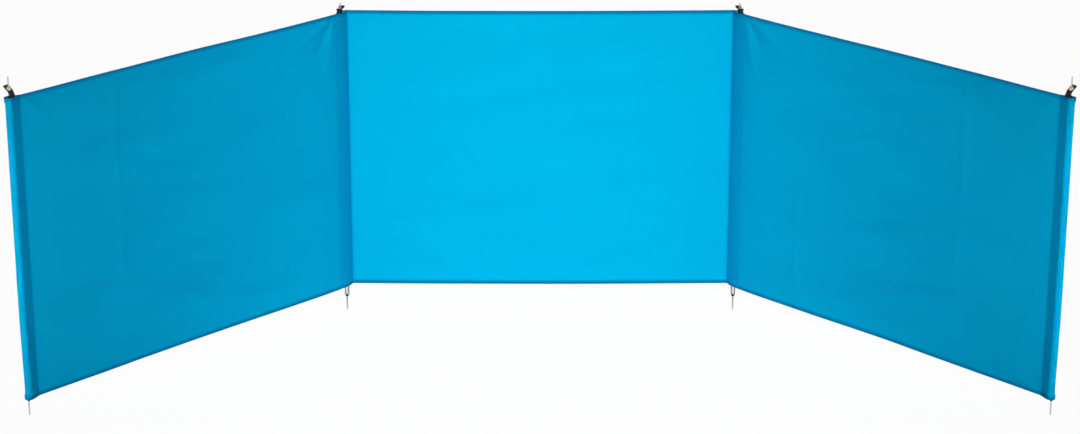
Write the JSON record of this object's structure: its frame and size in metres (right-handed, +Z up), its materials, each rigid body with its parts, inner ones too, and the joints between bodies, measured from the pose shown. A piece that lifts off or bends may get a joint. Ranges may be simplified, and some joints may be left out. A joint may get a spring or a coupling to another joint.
{
  "type": "beach windbreak",
  "caption": "Beach windbreak: plain blue cloth bays on steel poles with ground spikes, set out as an open U, hooked to the pole tops by strap eyelets.",
  "frame": {"origin": "centre of the flat end of the left inner pole's ground spike", "axes": "+X along the middle bay to the right inner pole, +Y to the windward side behind the cloth, +Z up the poles"},
  "size_m": [3.9736, 1.2453, 1.347],
  "materials": {
    "blue_cloth": "plain-woven bright blue polyester, slightly shiny",
    "pole_steel": "bright zinc-plated tube",
    "spike_steel": "drawn zinc-plated rod",
    "black_plastic": "moulded black plastic",
    "black_webbing": "ribbed black webbing",
    "eyelet_brass": "rolled brass-coloured eyelet"
  },
  "bodies": {
    "root": {"left_outer_tube": "pole_steel", "left_outer_foot_cap": "black_plastic", "left_outer_ground_spike": "spike_steel", "left_outer_top_cap": "black_plastic", "left_outer_top_pin": "spike_steel", "left_outer_strap": "black_webbing", "left_outer_eyelet": "eyelet_brass", "left_outer_sleeve": "blue_cloth", "left_inner_tube": "pole_steel", "left_inner_foot_cap": "black_plastic", "left_inner_ground_spike": "spike_steel", "left_inner_top_cap": "black_plastic", "left_inner_top_pin": "spike_steel", "left_inner_strap": "black_webbing", "left_inner_eyelet": "eyelet_brass", "left_inner_sleeve": "blue_cloth", "right_inner_tube": "pole_steel", "right_inner_foot_cap": "black_plastic", "right_inner_ground_spike": "spike_steel", "right_inner_top_cap": "black_plastic", "right_inner_top_pin": "spike_steel", "right_inner_strap": "black_webbing", "right_inner_eyelet": "eyelet_brass", "right_inner_sleeve": "blue_cloth", "right_outer_tube": "pole_steel", "right_outer_foot_cap": "black_plastic", "right_outer_ground_spike": "spike_steel", "right_outer_top_cap": "black_plastic", "right_outer_top_pin": "spike_steel", "right_outer_strap": "black_webbing", "right_outer_eyelet": "eyelet_brass", "right_outer_sleeve": "blue_cloth", "left_wing_cloth": "blue_cloth", "middle_cloth": "blue_cloth", "right_wing_cloth": "blue_cloth"}
  },
  "joints": []
}
